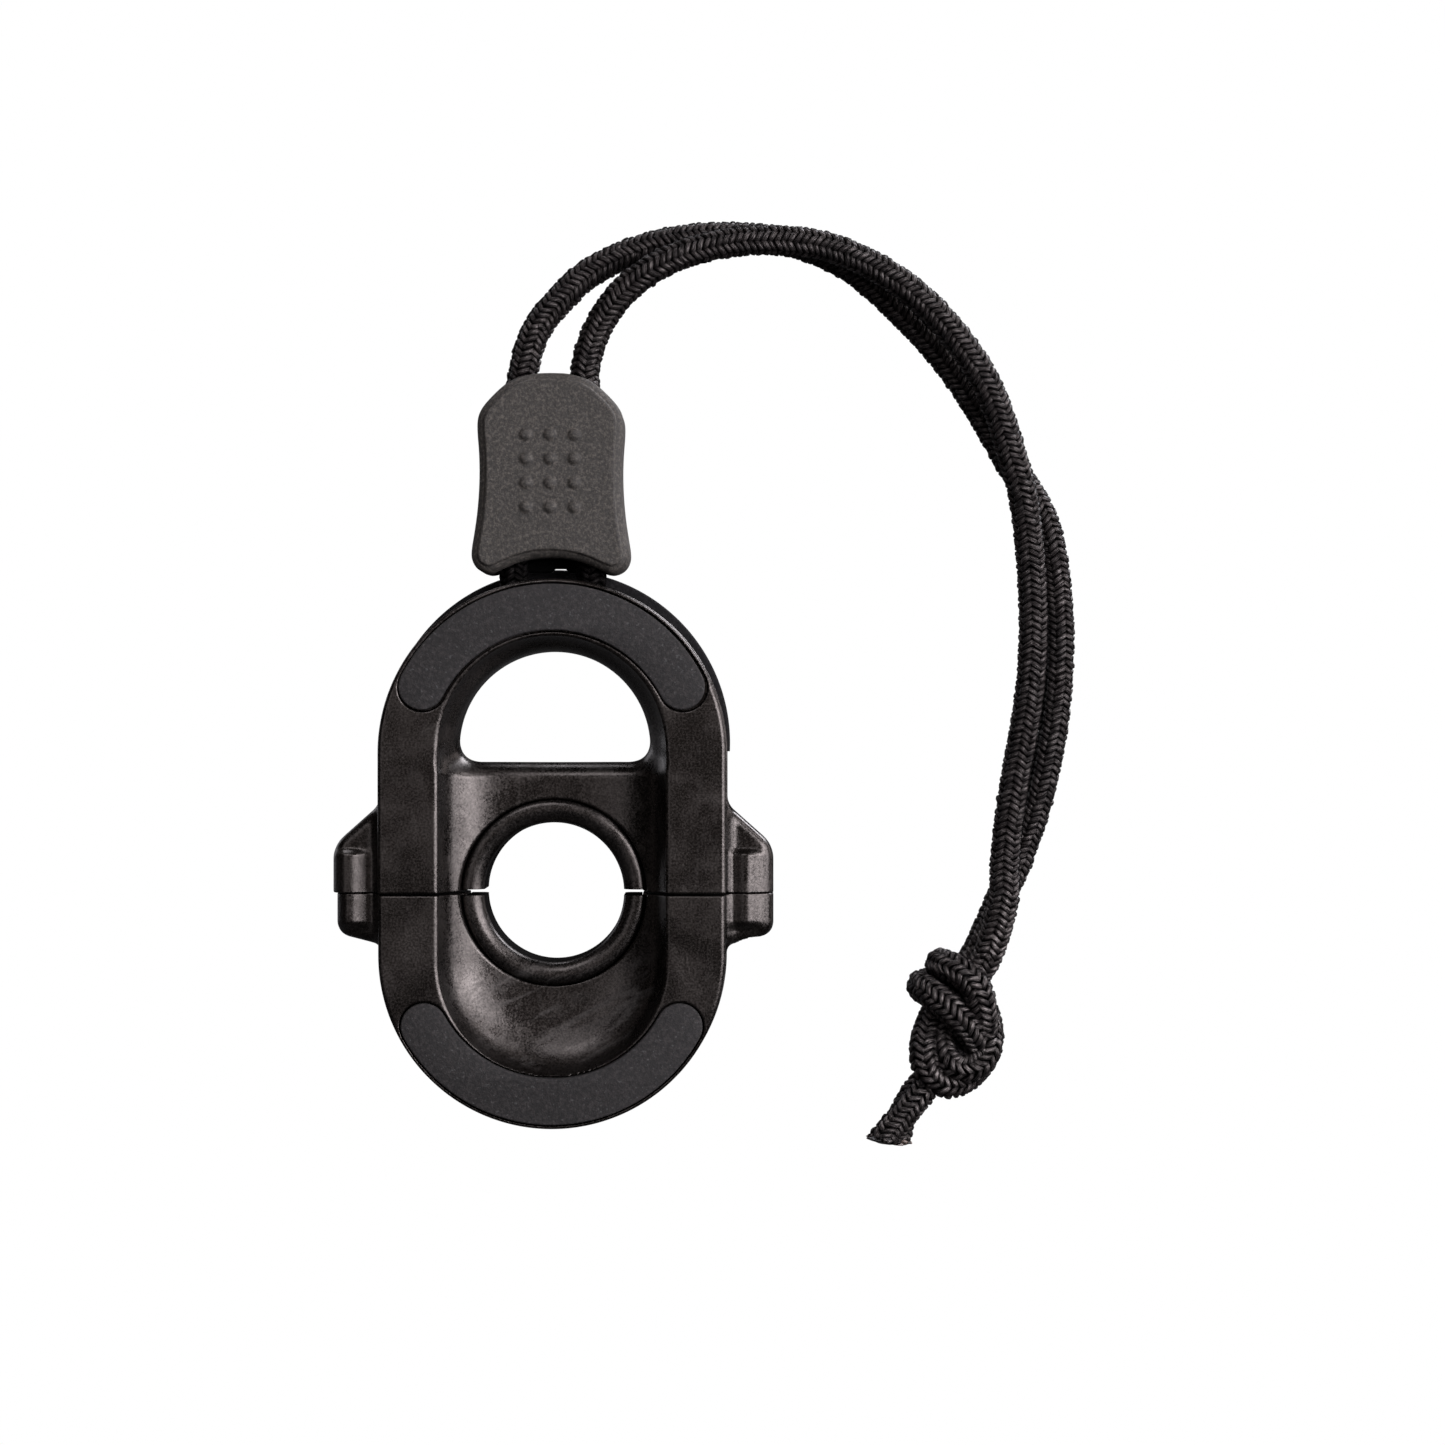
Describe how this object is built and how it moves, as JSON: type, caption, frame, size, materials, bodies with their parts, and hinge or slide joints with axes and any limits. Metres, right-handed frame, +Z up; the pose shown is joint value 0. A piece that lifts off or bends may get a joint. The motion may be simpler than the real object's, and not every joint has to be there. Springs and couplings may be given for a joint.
{
  "type": "split-collar strap lock",
  "caption": "Oval split-collar lock with a hinged magnetic gate, D window, rubber pads, cord slider and a knotted braided cord.",
  "frame": {"origin": "middle of the upper rear pad's flat face, on the lock's centre line", "axes": "+Z up through the window and cord slider, +X to the side the cord loops over, +Y out of the rear face"},
  "size_m": [0.0651, 0.0101, 0.0823],
  "materials": {
    "moulded_nylon": "satin, fine moulded grain",
    "liner_nylon": "satin",
    "pad_rubber": "matte, fine speckle",
    "slider_rubber": "matte",
    "screw_steel": "turned",
    "insert_brass": "turned",
    "magnet_nickel": "nickel plated",
    "cord_nylon": "braided, slight sheen"
  },
  "bodies": {
    "frame": {"upper_frame": "moulded_nylon", "upper_front_pad": "pad_rubber", "upper_rear_pad": "pad_rubber", "upper_jaw_liner": "liner_nylon", "pivot_screw": "screw_steel", "pivot_insert": "insert_brass", "frame_magnet": "magnet_nickel", "cord_bight": "cord_nylon"},
    "gate": {"lower_gate": "moulded_nylon", "lower_front_pad": "pad_rubber", "lower_rear_pad": "pad_rubber", "lower_jaw_liner": "liner_nylon", "gate_magnet": "magnet_nickel"},
    "slider": {"cord_slider": "slider_rubber"},
    "cord_near": {"cord_near_outer": "cord_nylon", "cord_near_inner": "cord_nylon"},
    "cord_far": {"cord_far_outer": "cord_nylon", "cord_far_inner": "cord_nylon"},
    "knot_end": {"knot": "cord_nylon", "tail_front": "cord_nylon", "tail_back": "cord_nylon"}
  },
  "joints": [
    {"name": "gate_swing", "type": "hinge", "parent": "frame", "child": "gate", "pos_m": [0.017, -0.005, -0.0255], "axis": [0, 0, 1], "range_deg": [0, 90]},
    {"name": "slider_travel", "type": "slide", "parent": "frame", "child": "slider", "axis": [0, 0, 1], "range_m": [0, 0.008]},
    {"name": "cord_lift", "type": "hinge", "parent": "slider", "child": "cord_near", "pos_m": [0, -0.005, 0.0199], "axis": [1, 0, 0], "range_deg": [-40, 40], "stiffness_Nm_per_rad": 0.01},
    {"name": "cord_bend", "type": "hinge", "parent": "cord_near", "child": "cord_far", "pos_m": [0.0402, -0.005, 0.0122], "axis": [0, -1, 0], "range_deg": [-3, 25], "stiffness_Nm_per_rad": 0.006},
    {"name": "knot_swing", "type": "hinge", "parent": "cord_far", "child": "knot_end", "pos_m": [0.0393, -0.005, -0.0262], "axis": [0, -1, 0], "range_deg": [-5, 30], "stiffness_Nm_per_rad": 0.003}
  ]
}
